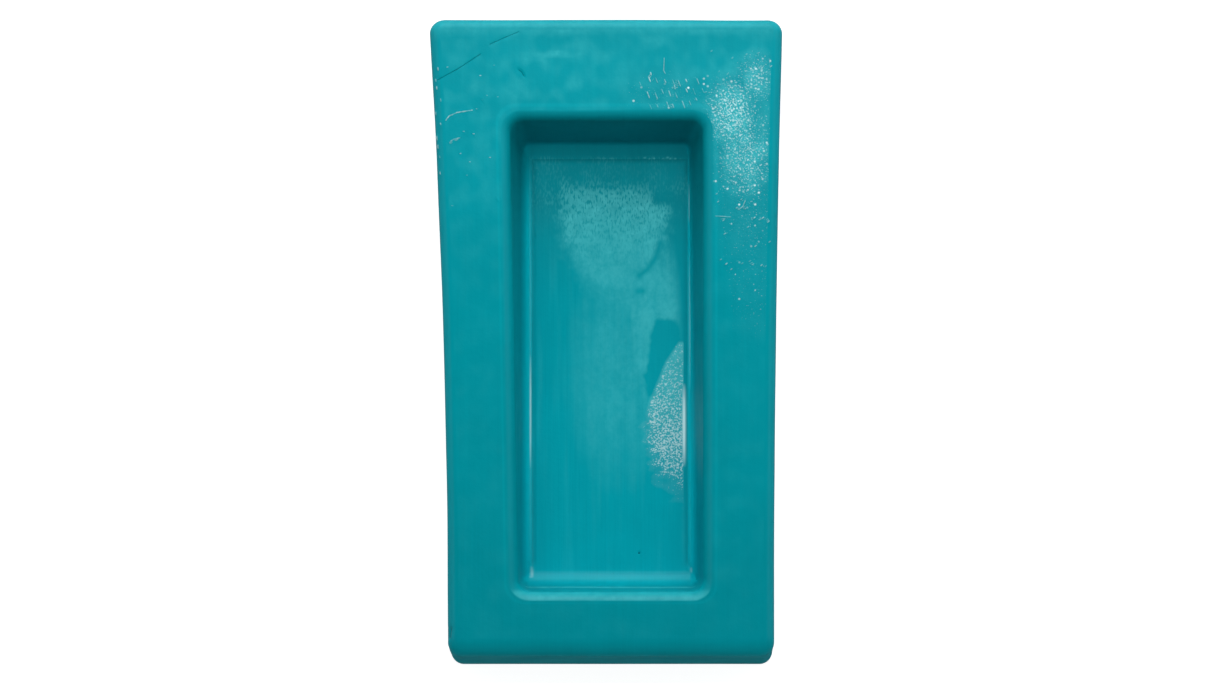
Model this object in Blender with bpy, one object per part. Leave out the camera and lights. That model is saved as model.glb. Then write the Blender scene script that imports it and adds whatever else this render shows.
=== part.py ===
"""Silicone soap mould: one thick cast block with a bar-shaped cavity, opening upwards.

Metres, +Z up. The origin is the centre of the block's footprint, on its underside.
+Y points at the head end, where the block is slightly wider and its rim broader.

The real mould is a single casting with no joints in it: it works by flexing. To let it
flex here, the casting is cut across the middle of the cavity into two segments, and the
head segment turns about a line in the rim plane, so bending the head end up only opens
the cut and nothing overlaps.
"""

import math

import bmesh
import bpy

MM = 0.001

# Block
BLOCK_LENGTH = 142.2 * MM
BLOCK_HEIGHT = 34.0 * MM
LEFT_HALF_WIDTH = 35.15 * MM  # at the foot end
RIGHT_HALF_WIDTH = 37.25 * MM
LEFT_FLARE = 4.35 * MM  # how much further out the side is at the head end
RIGHT_FLARE = 2.1 * MM
BLOCK_CORNER = 3.2 * MM  # corner radius seen from above
RIM_ROUND = 2.2 * MM  # round-over of the rim's outer edge
FOOT_RIM_ROUND = 3.7 * MM  # how far it reaches in at the foot end, where it is fuller
UNDERSIDE_ROUND = 0.7 * MM
SIDE_DRAFT = 0.4 * MM  # how much each side leans in from the rim down to the underside

# Cavity, from its lip down to its floor: (foot, head, left, right, corner) of each outline
FLOOR_THICKNESS = 9.0 * MM
BEVEL_HEIGHT = 1.8 * MM
LIP_ROUND = 2.3 * MM
LIP_CORNER = 4.6 * MM
MOUTH = (-56.7 * MM, 48.5 * MM, 19.2 * MM, 21.5 * MM, 2.8 * MM)  # top of the walls, under the lip
MOUTH_LEFT_FLARE = 2.6 * MM
STEP = (-54.0 * MM, 46.0 * MM, 18.9 * MM, 20.8 * MM, 2.0 * MM)  # foot of the walls
STEP_RIGHT_FLARE = -2.2 * MM
FLOOR = (-50.4 * MM, 42.9 * MM, 16.75 * MM, 18.35 * MM, 0.0)

# Flexing
FLEX_CUT_Y = -4.0 * MM  # middle of the cavity floor
CUT_GAP = 0.3 * MM

# Fineness
CORNER_STEPS = 5
SIDE_STEPS = 8
END_STEPS = 2
ROUND_STEPS = 4

SILICONE_COLOUR = (0.003, 0.27, 0.32, 1.0)
SILICONE_ROUGHNESS = 0.42


class Outline:
    """A rounded rectangle in plan whose long sides may lean or curve out towards the head."""

    def __init__(self, foot, head, left, right, corner, flares=(0.0, 0.0), power=1):
        self.foot = foot
        self.head = head
        self.left = left
        self.right = right
        self.corner = corner
        self.flares = flares
        self.power = power

    def grown(self, amount):
        """The same outline, further out by amount on every side."""
        return Outline(
            self.foot - amount,
            self.head + amount,
            self.left + amount,
            self.right + amount,
            max(self.corner + amount, 0.0),
            self.flares,
            self.power,
        )

    def mixed(self, other, share):
        """The outline that lies between this one and other."""

        def between(a, b):
            return a + (b - a) * share

        return Outline(
            between(self.foot, other.foot),
            between(self.head, other.head),
            between(self.left, other.left),
            between(self.right, other.right),
            between(self.corner, other.corner),
            tuple(between(a, b) for a, b in zip(self.flares, other.flares)),
            self.power,
        )

    def flared(self, x, y):
        """x moved out with its side, by as much as that side flares at y."""
        reach = (y / BLOCK_LENGTH + 0.5) ** self.power
        flare, half = (self.flares[1], self.right) if x > 0 else (self.flares[0], self.left)
        return x * (1.0 + flare * reach / half)

    def points(self, z):
        """The outline's points at height z, anticlockwise from the foot end's right corner."""
        r = self.corner
        corners = (
            (self.right - r, self.foot + r, -90),
            (self.right - r, self.head - r, 0),
            (-self.left + r, self.head - r, 90),
            (-self.left + r, self.foot + r, 180),
        )
        flat = []
        for index, (cx, cy, start) in enumerate(corners):
            for step in range(CORNER_STEPS + 1):
                turn = math.radians(start + 90 * step / CORNER_STEPS)
                flat.append((cx + r * math.cos(turn), cy + r * math.sin(turn)))
            nx, ny, next_start = corners[(index + 1) % 4]
            turn = math.radians(next_start)
            last = flat[-1]
            following = (nx + r * math.cos(turn), ny + r * math.sin(turn))
            pieces = SIDE_STEPS if index % 2 == 0 else END_STEPS
            for step in range(1, pieces):
                share = step / pieces
                flat.append(tuple(a + (b - a) * share for a, b in zip(last, following)))
        return [(self.flared(x, y), y, z) for x, y in flat]


def quarter_round(outer, inner, top, radius):
    """Rings that turn down from a flat top at outline outer to a steep side at inner."""
    rings = []
    for step in range(ROUND_STEPS + 1):
        turn = math.radians(90 * step / ROUND_STEPS)
        outline = outer.mixed(inner, math.sin(turn))
        rings.append(outline.points(top - radius * (1.0 - math.cos(turn))))
    return rings


def block_rings():
    """The casting's skin as rings: up the outside, over the rim and down into the cavity."""
    half = BLOCK_LENGTH / 2
    side = Outline(
        -half,
        half,
        LEFT_HALF_WIDTH,
        RIGHT_HALF_WIDTH,
        BLOCK_CORNER,
        (LEFT_FLARE, RIGHT_FLARE),
        power=2,
    )
    base = side.grown(-SIDE_DRAFT)
    rim_edge = side.grown(-RIM_ROUND)
    rim_edge.foot = side.foot + FOOT_RIM_ROUND
    mouth = Outline(*MOUTH, (MOUTH_LEFT_FLARE, 0.0))
    lip = mouth.grown(LIP_ROUND)
    lip.corner = LIP_CORNER
    step = Outline(*STEP, (0.0, STEP_RIGHT_FLARE))
    floor = Outline(*FLOOR)

    rings = [
        base.grown(-UNDERSIDE_ROUND).points(0.0),
        base.grown(-0.3 * UNDERSIDE_ROUND).points(0.3 * UNDERSIDE_ROUND),
        base.points(UNDERSIDE_ROUND),
    ]
    rings += reversed(quarter_round(rim_edge, side, BLOCK_HEIGHT, RIM_ROUND))
    rings += quarter_round(lip, mouth, BLOCK_HEIGHT, LIP_ROUND)
    rings.append(step.points(FLOOR_THICKNESS + BEVEL_HEIGHT))
    rings.append(floor.points(FLOOR_THICKNESS))
    return rings


def cast_block():
    """The whole casting as one closed bmesh."""
    block = bmesh.new()
    loops = [[block.verts.new(point) for point in ring] for ring in block_rings()]
    for lower, upper in zip(loops, loops[1:]):
        for i in range(len(lower)):
            j = (i + 1) % len(lower)
            block.faces.new((lower[i], lower[j], upper[j], upper[i]))
    block.faces.new(reversed(loops[0]))
    block.faces.new(loops[-1])
    bmesh.ops.remove_doubles(block, verts=block.verts, dist=1e-6)
    return block


def cut_off(block, y, direction):
    """Removes what lies on the direction side of the plane at y, and closes the cut."""
    everything = block.verts[:] + block.edges[:] + block.faces[:]
    bmesh.ops.bisect_plane(
        block,
        geom=everything,
        dist=1e-7,
        plane_co=(0.0, y, 0.0),
        plane_no=(0.0, direction, 0.0),
        clear_outer=True,
    )
    open_edges = [edge for edge in block.edges if edge.is_boundary]
    bmesh.ops.contextual_create(block, geom=open_edges)
    bmesh.ops.recalc_face_normals(block, faces=block.faces)


def silicone():
    material = bpy.data.materials.new("silicone")
    material.use_nodes = True
    shader = material.node_tree.nodes["Principled BSDF"]
    shader.inputs["Base Color"].default_value = SILICONE_COLOUR
    shader.inputs["Roughness"].default_value = SILICONE_ROUGHNESS
    shader.inputs["Metallic"].default_value = 0.0
    return material


def add_segment(name, cut_y, direction, origin):
    """One segment of the casting as an object whose origin is at the given point."""
    block = cast_block()
    cut_off(block, cut_y, direction)
    bmesh.ops.translate(block, verts=block.verts, vec=[-value for value in origin])
    mesh = bpy.data.meshes.new(name)
    block.to_mesh(mesh)
    block.free()
    mesh.shade_smooth()
    mesh.set_sharp_from_angle(angle=math.radians(35))
    mesh.materials.append(silicone())
    segment = bpy.data.objects.new(name, mesh)
    segment.location = origin
    bpy.context.scene.collection.objects.link(segment)


def main():
    for obj in list(bpy.data.objects):
        bpy.data.objects.remove(obj)
    hinge_line = (0.0, FLEX_CUT_Y, BLOCK_HEIGHT)
    add_segment("foot_half", FLEX_CUT_Y - CUT_GAP / 2, 1, (0.0, 0.0, 0.0))
    add_segment("head_half", FLEX_CUT_Y + CUT_GAP / 2, -1, hinge_line)


main()
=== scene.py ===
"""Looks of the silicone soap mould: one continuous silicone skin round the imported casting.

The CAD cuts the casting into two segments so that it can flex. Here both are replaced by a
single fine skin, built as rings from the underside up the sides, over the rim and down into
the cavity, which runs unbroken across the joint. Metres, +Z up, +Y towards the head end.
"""

import math
import random
from dataclasses import astuple, dataclass, replace

import bpy
import numpy as np
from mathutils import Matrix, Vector, noise


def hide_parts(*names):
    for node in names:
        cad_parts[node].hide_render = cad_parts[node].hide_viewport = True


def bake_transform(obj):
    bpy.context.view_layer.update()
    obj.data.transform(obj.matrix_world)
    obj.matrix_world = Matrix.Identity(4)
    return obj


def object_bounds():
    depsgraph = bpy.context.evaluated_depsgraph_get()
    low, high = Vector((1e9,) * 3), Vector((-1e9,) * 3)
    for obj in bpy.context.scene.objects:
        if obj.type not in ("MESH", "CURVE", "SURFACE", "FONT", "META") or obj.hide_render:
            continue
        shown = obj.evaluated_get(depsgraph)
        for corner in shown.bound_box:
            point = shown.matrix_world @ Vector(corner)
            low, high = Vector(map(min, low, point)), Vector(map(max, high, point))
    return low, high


MM = 0.001

# The casting's own proportions: outlines in plan are (foot, head, left, right, corner)
LEFT_HALF_WIDTH = 35.15 * MM
RIGHT_HALF_WIDTH = 37.25 * MM
LEFT_FLARE = 4.35 * MM
RIGHT_FLARE = 2.1 * MM
FLARE_POWER = 2  # the sides curve out towards the head as this power of the way along
BLOCK_CORNER = 3.2 * MM
RIM_ROUND = 2.2 * MM
FOOT_RIM_ROUND = 3.7 * MM
UNDERSIDE_ROUND = 0.7 * MM
UNDERSIDE_INSET = 3.0 * MM  # width of the border round the underside's plain middle
SIDE_DRAFT = 0.4 * MM
FLOOR_HEIGHT = 9.0 * MM
BEVEL_HEIGHT = 1.8 * MM
LIP_ROUND = 2.3 * MM
LIP_CORNER = 4.6 * MM
LIP_CHAMFER = 0.25  # how far the lip's round leans towards a straight chamfer
MOUTH = (-56.7 * MM, 48.5 * MM, 19.2 * MM, 21.5 * MM, 2.8 * MM)
MOUTH_LEFT_FLARE = 2.6 * MM
STEP = (-54.0 * MM, 46.0 * MM, 18.9 * MM, 20.8 * MM, 2.0 * MM)
STEP_RIGHT_FLARE = -2.2 * MM
CURVE_UP = 4.0 * MM  # how far up the wall its curve into the bevel begins
CURVE_IN = 0.55  # how far down the bevel it ends, as a share of the bevel
CURVE_SIZES = ((43.5, 1.0), (45.5, 0.35))  # size of that curve against Y in mm
FLOOR = (-50.4 * MM, 42.6 * MM, 16.75 * MM, 18.35 * MM, 0.0)

# Fineness of the skin, in faces
CORNER_STEPS = 12
SIDE_STEPS = 380
END_STEPS = 190
ROUND_STEPS = 12
RIM_STEPS = 46
WALL_STEPS = 22
CURVE_STEPS = 14
BEVEL_STEPS = 5
SIDE_RINGS = 24
SAME_PLACE = 1e-9  # points closer than this are one point

# Camera: a long lens looking down, from a little towards the foot end
CAMERA_TILT = math.radians(5.6)
CAMERA_DISTANCE = 2.4
SENSOR_WIDTH = 36.0  # in millimetres, as the camera has it
FRAME_WIDTH = 269.8 * MM  # what the picture's width covers at the object
CAMERA_AIM = Vector((0.17 * MM, -1.14 * MM, 34.0 * MM))

# Studio
STUDIO_FLOOR_REACH = 6.0  # from the middle of the floor to each of its sides
LIGHTS_AIM = Vector((0.0, 0.0, 0.02))


@dataclass
class Outline:
    """A rounded rectangle in plan whose long sides may lean or curve out towards the head."""

    foot: float
    head: float
    left: float
    right: float
    corner: float
    left_flare: float = 0.0
    right_flare: float = 0.0
    power: float = 1.0

    def mixed(self, other, share):
        """The outline that lies between this one and other."""
        pairs = zip(astuple(self), astuple(other))
        return Outline(*(mine + (theirs - mine) * share for mine, theirs in pairs))

    def grown(self, amount):
        """The same outline, further out by amount on every side."""
        return replace(
            self,
            foot=self.foot - amount,
            head=self.head + amount,
            left=self.left + amount,
            right=self.right + amount,
            corner=max(self.corner + amount, 0.0) if self.corner else 0.0,
        )

    def points(self, z):
        """The outline's points at height z, anticlockwise from the foot end's right corner."""
        r = self.corner
        centres = (
            (self.right - r, self.foot + r),
            (self.right - r, self.head - r),
            (-self.left + r, self.head - r),
            (-self.left + r, self.foot + r),
        )
        flat = []
        for index, centre in enumerate(centres):
            turns = np.radians(90.0 * index - 90.0 + np.linspace(0.0, 90.0, CORNER_STEPS + 1))
            arc = np.array(centre) + r * np.column_stack((np.cos(turns), np.sin(turns)))
            flat.append(arc)
            leave = turns[-1]
            ahead = np.array(centres[(index + 1) % 4])
            ahead = ahead + r * np.array((math.cos(leave), math.sin(leave)))
            pieces = SIDE_STEPS if index % 2 == 0 else END_STEPS
            shares = np.arange(1, pieces)[:, None] / pieces
            flat.append(arc[-1] + (ahead - arc[-1]) * shares)
        flat = np.vstack(flat)
        flat[:, 0] = self.flared(flat[:, 0], flat[:, 1])
        return np.column_stack((flat, np.full(len(flat), z)))

    def flared(self, x, y):
        """x moved out with its side, by as much as that side flares at y."""
        reach = (0.5 + 0.5 * y / CAD_HIGH.y) ** self.power
        flare = np.where(x > 0, self.right_flare, self.left_flare)
        half = np.where(x > 0, self.right, self.left)
        return x * (1.0 + flare * reach / half)


def quarter_round(outer, inner, top, radius, chamfer=0.0):
    """Rings that turn down from a flat top at outline outer to a steep side at inner.

    chamfer is how far the arc leans towards a straight chamfer, from 0 to 1.
    """
    rings = []
    for step in range(ROUND_STEPS + 1):
        share = step / ROUND_STEPS
        turn = math.radians(90.0 * share)
        inwards = math.sin(turn) + (share - math.sin(turn)) * chamfer
        drop = 1.0 - math.cos(turn)
        drop = drop + (share - drop) * chamfer
        rings.append(outer.mixed(inner, inwards).points(top - radius * drop))
    return rings


def stretch(start, start_z, end, end_z, steps):
    """Rings between two outlines, without the first and last."""
    shares = np.arange(1, steps) / steps
    return [start.mixed(end, share).points(start_z + (end_z - start_z) * share) for share in shares]


# Painted light and shade: how far the silicone's colour is lightened or darkened in each place,
# as a share of its base colour, against Y in mm. The sides and the rim are darkened, the rim
# most at its foot end and head edge, and the walls towards the head end; the bevel and the
# floor are lightened, the groove beside the floor's raised border less than the floor.
SIDE_SHADE = 0.95
RIM_SHADES = ((-71.0, 0.80), (62.0, 0.945), (68.0, 0.90), (71.0, 0.82))
WALL_SHADES = ((12.0, 1.03), (36.0, 0.78))
BEVEL_SHADES = (
    (-52.0, 1.40),
    (-50.4, 1.27),
    (-47.0, 1.40),
    (-25.0, 1.52),
    (25.0, 1.52),
    (43.0, 1.25),
)
GROOVE_SHADES = ((-50.0, 1.27), (-48.0, 1.0))
FLOOR_SHADES = ((-50.0, 1.27), (-20.0, 1.21), (10.0, 1.19), (33.0, 1.04), (42.0, 1.4))
LIP_HIGHLIGHT = 1.10  # a painted highlight line beside the cavity's lip, as a share of the rim's painted shade
LIP_HIGHLIGHT_RINGS = 2  # how many of the rim's rings it takes up

ZONES = ("underside", "side", "edge", "rim", "lip", "wall", "bevel", "floor")


def within(zones, *names):
    """Which points lie in the named zones."""
    return np.isin(zones, [ZONES.index(name) for name in names])


def along(points, table):
    """A value for each point, from a table of values against Y in mm."""
    places, values = zip(*table)
    return np.interp(points[:, 1] / MM, places, values)


def shade_from(table):
    """A function that gives the painted light and shade of each point from a table."""
    return lambda points: along(points, table)


def side_shade(points):
    return np.full(len(points), SIDE_SHADE)


rim_shade = shade_from(RIM_SHADES)
wall_shade = shade_from(WALL_SHADES)
bevel_shade = shade_from(BEVEL_SHADES)
groove_shade = shade_from(GROOVE_SHADES)
floor_shade = shade_from(FLOOR_SHADES)


class Rings:
    """The skin from the underside up the outside, over the rim and down into the cavity."""

    def __init__(self):
        self.points = []
        self.zones = []
        self.shades = []

    def add(self, rings, zone, start_shade, end_shade=None):
        """Adds rings of a zone, whose painted light and shade runs from start_shade to end_shade."""
        end_shade = end_shade or start_shade
        for share, ring in zip(np.linspace(0.0, 1.0, len(rings)), rings):
            self.points.append(ring)
            self.zones.append(ZONES.index(zone))
            self.shades.append(start_shade(ring) * (1.0 - share) + end_shade(ring) * share)


def add_outside(rings):
    """Adds the underside's border, the sides and the round above them. Returns the rim's outline."""
    height = CAD_HIGH.z
    half = CAD_HIGH.y
    side = Outline(-half, half, LEFT_HALF_WIDTH, RIGHT_HALF_WIDTH, BLOCK_CORNER)
    side = replace(side, left_flare=LEFT_FLARE, right_flare=RIGHT_FLARE, power=FLARE_POWER)
    base = side.grown(-SIDE_DRAFT)
    base.right = side.right  # the right side stands straight
    under = base.grown(-UNDERSIDE_ROUND)
    inset = base.grown(-UNDERSIDE_ROUND - UNDERSIDE_INSET)
    inset.corner = 0.0
    rim_edge = side.grown(-RIM_ROUND)
    rim_edge.foot = side.foot + FOOT_RIM_ROUND

    # A coarse round that turns down from z = 0, turned over
    turned = quarter_round(under, base, 0.0, UNDERSIDE_ROUND)[1::3]
    for ring in turned:
        ring[:, 2] *= -1.0

    rings.add([inset.points(0.0), under.points(0.0)], "underside", side_shade)
    rings.add(turned, "side", side_shade)
    flank = stretch(base, UNDERSIDE_ROUND, side, height - RIM_ROUND, SIDE_RINGS)
    rings.add(flank, "side", side_shade)
    edge = quarter_round(rim_edge, side, height, RIM_ROUND)[::-1]
    rings.add(edge, "edge", side_shade, rim_shade)
    return rim_edge


def add_rim(rings, rim_edge, lip):
    """Adds the flat rim, with the painted highlight line beside the cavity's lip."""
    rim = stretch(rim_edge, CAD_HIGH.z, lip, CAD_HIGH.z, RIM_STEPS)
    lit = -1 - LIP_HIGHLIGHT_RINGS
    rings.add(rim[:lit], "rim", rim_shade)
    rings.add(rim[lit:-1], "rim", lambda ring: LIP_HIGHLIGHT * rim_shade(ring))
    rings.add(rim[-1:], "rim", rim_shade)


def add_cavity(rings, lip, mouth):
    """Adds the lip, the walls, their curve into the bevel, the bevel and the floor's border."""
    height = CAD_HIGH.z
    lip_round = quarter_round(lip, mouth, height, LIP_ROUND, LIP_CHAMFER)
    rings.add(lip_round[:1], "rim", rim_shade)
    rings.add(lip_round[1:], "lip", rim_shade, wall_shade)

    step = Outline(*STEP, right_flare=STEP_RIGHT_FLARE)
    step_z = FLOOR_HEIGHT + BEVEL_HEIGHT
    wall_end = step.mixed(mouth, CURVE_UP / (height - LIP_ROUND - step_z))
    wall = stretch(mouth, height - LIP_ROUND, wall_end, step_z + CURVE_UP, WALL_STEPS)
    rings.add(wall, "wall", wall_shade)

    floor = Outline(*FLOOR)
    bevel_start = step.mixed(floor, CURVE_IN).points(step_z - CURVE_IN * BEVEL_HEIGHT)
    curve = curved(wall_end.points(step_z + CURVE_UP), step.points(step_z), bevel_start)
    rings.add(curve, "wall", wall_shade, bevel_shade)

    border = floor_edge_rings(floor)
    shares = np.arange(1, BEVEL_STEPS) / BEVEL_STEPS
    bevel = [bevel_start + (border[0] - bevel_start) * share for share in shares]
    rings.add(bevel, "bevel", bevel_shade)
    groove = len(border) // 2
    rings.add(border[:groove], "floor", bevel_shade)
    rings.add(border[groove:], "floor", groove_shade, floor_shade)


def casting_rings():
    """All rings of the casting, in order, from the underside to the edge of the cavity floor."""
    rings = Rings()
    mouth = Outline(*MOUTH, left_flare=MOUTH_LEFT_FLARE)
    lip = mouth.grown(LIP_ROUND)
    lip.corner = LIP_CORNER
    rim_edge = add_outside(rings)
    add_rim(rings, rim_edge, lip)
    add_cavity(rings, lip, mouth)
    return rings


def curved(start, corner, end):
    """Rings that curve from start to end, drawn towards corner. The curve is tighter at the head."""
    size = along(corner, CURVE_SIZES)[:, None]
    start = corner + (start - corner) * size
    end = corner + (end - corner) * size
    rings = []
    for share in np.linspace(0.0, 1.0, CURVE_STEPS + 1):
        first = start + (corner - start) * share
        second = corner + (end - corner) * share
        rings.append(first + (second - first) * share)
    return rings


# The border between bevel and floor, as (distance in, height) in millimetres: the fine raised
# line that the master's edge left, and the groove beside it. At both ends they fade out.
FLOOR_EDGE = (
    (-0.55, 0.46),
    (-0.42, 0.46),
    (-0.28, 0.42),
    (-0.14, 0.26),
    (0.0, 0.05),
    (0.16, -0.10),
    (0.40, -0.15),
    (0.65, -0.12),
    (0.90, -0.03),
    (1.20, 0.0),
)
PLAIN_EDGE = ((-0.55, 0.26), (0.0, 0.10), (0.5, 0.03), (1.2, 0.0))


def floor_edge_rings(floor):
    """Rings across the border between the bevel and the floor."""
    rings = []
    for inset, rise in FLOOR_EDGE:
        ring = floor.grown(-inset * MM).points(FLOOR_HEIGHT)
        plain = np.interp(inset, *zip(*PLAIN_EDGE))
        from_end = np.minimum(ring[:, 1] - floor.foot, floor.head - ring[:, 1])
        marked = np.clip(from_end / MM - 1.0, 0.0, 1.0)
        ring[:, 2] += (plain + (rise - plain) * marked) * MM
        rings.append(ring)
    return rings


class Skin:
    """Collects the skin's points and faces ring by ring. Sharp corners share one point."""

    def __init__(self):
        self.points = []
        self.zones = []
        self.shades = []
        self.faces = []
        self.count = 0
        self.sharp_count = 0
        sharp_index = []
        for corner in range(4):
            pieces = SIDE_STEPS if corner % 2 == 0 else END_STEPS
            sharp_index += [self.sharp_count] * (CORNER_STEPS + 1)
            sharp_index += range(self.sharp_count + 1, self.sharp_count + pieces)
            self.sharp_count += pieces
        self.sharp_index = np.array(sharp_index)

    def add_points(self, points, zone, shades):
        first = self.count
        self.points.append(points)
        self.zones.append(np.full(len(points), zone))
        self.shades.append(shades)
        self.count += len(points)
        return first

    def add_ring(self, ring, zone, shades):
        """The indices of a ring's points. A ring with sharp corners holds each corner once."""
        corner_spread = np.ptp(ring[: CORNER_STEPS + 1], axis=0).max()
        if corner_spread > SAME_PLACE:
            return self.add_points(ring, zone, shades) + np.arange(len(ring))
        kept = np.zeros((self.sharp_count, 3))
        kept[self.sharp_index] = ring
        kept_shades = np.zeros(self.sharp_count)
        kept_shades[self.sharp_index] = shades
        return self.add_points(kept, zone, kept_shades) + self.sharp_index

    def add_quads(self, *corners):
        """Faces from four arrays of indices. Where two corners are one point, a triangle."""
        quads = np.column_stack(corners)
        doubled = (quads[:, 0] == quads[:, 1]) | (quads[:, 2] == quads[:, 3])
        self.faces += quads[~doubled].tolist()
        for quad in quads[doubled].tolist():
            corner_points = list(dict.fromkeys(quad))
            if len(corner_points) > 2:
                self.faces.append(corner_points)

    def bridge(self, lower, upper):
        self.add_quads(lower, np.roll(lower, -1), np.roll(upper, -1), upper)

    def sides_of(self, ring):
        """A sharp ring's right, head, left and foot sides as lists of indices."""
        unique = ring[0] + np.append(np.arange(self.sharp_count), 0)
        cuts = np.cumsum([0, SIDE_STEPS, END_STEPS, SIDE_STEPS, END_STEPS])
        return [unique[a : b + 1].tolist() for a, b in zip(cuts, cuts[1:])]

    def fill_grid(self, ring, zone, shade):
        """Closes a sharp ring with a fine grid."""
        right, head, left, foot = self.sides_of(ring)
        left = left[::-1]
        head = head[::-1]
        everything = np.vstack(self.points)
        grid = np.zeros((SIDE_STEPS + 1, END_STEPS + 1), int)
        grid[:, -1] = right
        grid[:, 0] = left
        grid[0] = foot
        grid[-1] = head
        shares = np.linspace(0.0, 1.0, END_STEPS + 1)[1:-1, None]
        for row in range(1, SIDE_STEPS):
            start = everything[left[row]]
            end = everything[right[row]]
            across = start + (end - start) * shares
            first = self.add_points(across, zone, shade(across))
            grid[row, 1:-1] = first + np.arange(END_STEPS - 1)
        corners = (grid[:-1, :-1], grid[:-1, 1:], grid[1:, 1:], grid[1:, :-1])
        self.add_quads(*(corner.ravel() for corner in corners))

    def fill_strips(self, ring):
        """Closes a sharp ring, seen from below, with one strip across for each step."""
        right, head, left, foot = self.sides_of(ring)
        left = left[::-1]
        for row in range(SIDE_STEPS):
            across = [right[row], left[row]]
            beyond = [left[row + 1], right[row + 1]]
            if row == 0:
                across = foot[::-1]
            if row == SIDE_STEPS - 1:
                beyond = head[::-1]
            self.faces.append(across + beyond)


def smooth_noise(points, size, seed):
    """A smooth random value, about -1 to 1, that varies over size (x, y, z) in millimetres."""
    shift = np.array((seed * 17.3, seed * 5.1, seed * 9.7))
    places = points / (np.array(size) * MM) + shift
    return np.array([noise.noise(Vector(place)) for place in places])


def patch(points, x, y, half_x, half_y):
    """1 in the middle of an elliptical patch in plan, falling to 0 at its edge."""
    reach = ((points[:, 0] / MM - x) / half_x) ** 2 + ((points[:, 1] / MM - y) / half_y) ** 2
    return np.clip(1.0 - reach, 0.0, 1.0)


def trail(points, path, half_width):
    """1 along a path in plan, given by its corners, falling off over its half width."""
    flat = points[:, :2] / MM
    nearest = np.full(len(flat), np.inf)
    for start, end in zip(np.array(path), np.array(path)[1:]):
        along = end - start
        share = np.clip((flat - start) @ along / (along @ along), 0.0, 1.0)
        away = flat - start - share[:, None] * along
        nearest = np.minimum(nearest, (away**2).sum(axis=1))
    return np.exp(-nearest / half_width**2)


# Distances kept beside the fine lines on the rim, in mm
LINE_REACH = 2.0  # how far out a line's distance is kept, so that it changes evenly
LINE_DRAWN = 0.6  # how far out a line may be drawn
FAR_BEYOND = 5.0  # stands for a place with no line near it


def beside_lines(points, zones, lines):
    """How far each point of the rim lies beside the nearest line and beyond its end, in mm,
    and the line's height.

    They change evenly from point to point, so the material can draw lines finer than the mesh.
    """
    flat = points[:, :2] / MM
    nearest = np.where(within(zones, "rim", "edge"), LINE_REACH, 0.0)
    places = np.full((len(flat), 3), FAR_BEYOND)
    for path, _, height in lines:
        for index, (start, end) in enumerate(zip(np.array(path), np.array(path)[1:])):
            length = math.dist(start, end)
            along = (end - start) / length
            away = flat - start
            reach = away @ along
            beside = along[0] * away[:, 1] - along[1] * away[:, 0]
            before = -reach if index == 0 else np.full(len(flat), -1.0)
            after = reach - length if index == len(path) - 2 else np.full(len(flat), -1.0)
            gap = np.hypot(beside, np.maximum(np.maximum(-reach, reach - length), 0.0))
            closer = gap < nearest
            nearest[closer] = gap[closer]
            places[closer, 0] = beside[closer]
            places[closer, 1] = np.maximum(before, after)[closer]
            places[closer, 2] = height
    places[nearest > LINE_DRAWN, 1] = FAR_BEYOND
    return places


def inside(points, path):
    """How far each point lies inside a convex outline in plan, in millimetres."""
    flat = points[:, :2] / MM
    depth = np.full(len(flat), np.inf)
    for start, end in zip(np.array(path), np.roll(path, -1, axis=0)):
        along = end - start
        away = flat - start
        depth = np.minimum(depth, (along[0] * away[:, 1] - along[1] * away[:, 0]) / np.hypot(*along))
    return depth


# All the marks below are in millimetres, in plan

# The rim's hammered, glossy skin, which also carries painted glints and sheen: x, y, half width,
# half length, strength
HAMMERED = (
    (28.0, 50.0, 7.5, 10.0, 1.0),
    (33.5, 57.5, 6.0, 7.5, 0.75),
    (31.0, 41.0, 8.5, 14.0, 0.8),
    (31.5, 30.0, 8.0, 18.0, 0.34),
    (33.0, 16.0, 7.0, 20.0, 0.2),
    (14.0, 55.0, 12.0, 6.0, 0.2),
)

# Slits and scores cut into the rim, darkened inside as painted shade: path, half width, depth
SLITS = (
    (((-37.6, 57.4), (-33.0, 59.9), (-28.0, 63.2)), 0.26, 0.11),
    (((-25.9, 65.4), (-22.6, 66.9), (-19.6, 68.2)), 0.28, 0.13),
    (((-19.5, 59.6), (-18.9, 59.2), (-18.4, 58.3)), 0.30, 0.22),
    (((-34.6, -65.0), (-34.9, -67.0)), 0.40, 0.35),
    (((16.2, 41.6), (16.7, 41.9)), 0.3, 0.12),
)

# Fine threads of silicone that stand up from the rim, with a painted highlight along them: path,
# half width, height
THREADS = (
    (((-35.7, 48.4), (-35.0, 49.3), (-33.2, 50.1), (-29.9, 50.6)), 0.24, 0.10),
    (((-34.8, 43.6), (-33.8, 44.2), (-32.6, 44.4)), 0.22, 0.06),
    (((12.9, 62.3), (12.8, 59.5), (13.1, 58.9)), 0.22, 0.04),
    (((9.9, 59.0), (10.0, 58.6)), 0.24, 0.16),
    (((15.2, 56.0), (15.3, 55.5)), 0.24, 0.18),
    (((24.7, 55.1), (24.8, 54.8)), 0.24, 0.18),
    (((29.5, 28.4), (30.4, 29.0), (30.9, 30.3)), 0.22, 0.06),
    (((24.4, 26.9), (26.0, 26.8), (27.6, 26.7)), 0.20, 0.025),
)

# Air bubbles that burst at the surface, with painted shade in their pits, and a grain that stands
# up: x, y, radius, depth
BUBBLES = (
    (20.12, -52.2, 0.34, 0.55),
    (20.45, 34.7, 0.36, 0.40),
    (20.42, -26.4, 0.26, 0.22),
    (7.3, -46.4, 0.28, 0.22),
    (-24.0, 30.6, 0.26, -0.12),
)

# Strokes on the cavity floor where the film and painted sheen are thinned: path, half width
FILM_GAPS = (
    (((12.1, 23.5), (11.2, 20.4), (9.3, 17.6), (7.4, 16.2)), 0.75),
    (((7.1, 12.7), (8.1, 12.7)), 0.75),
)
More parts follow.
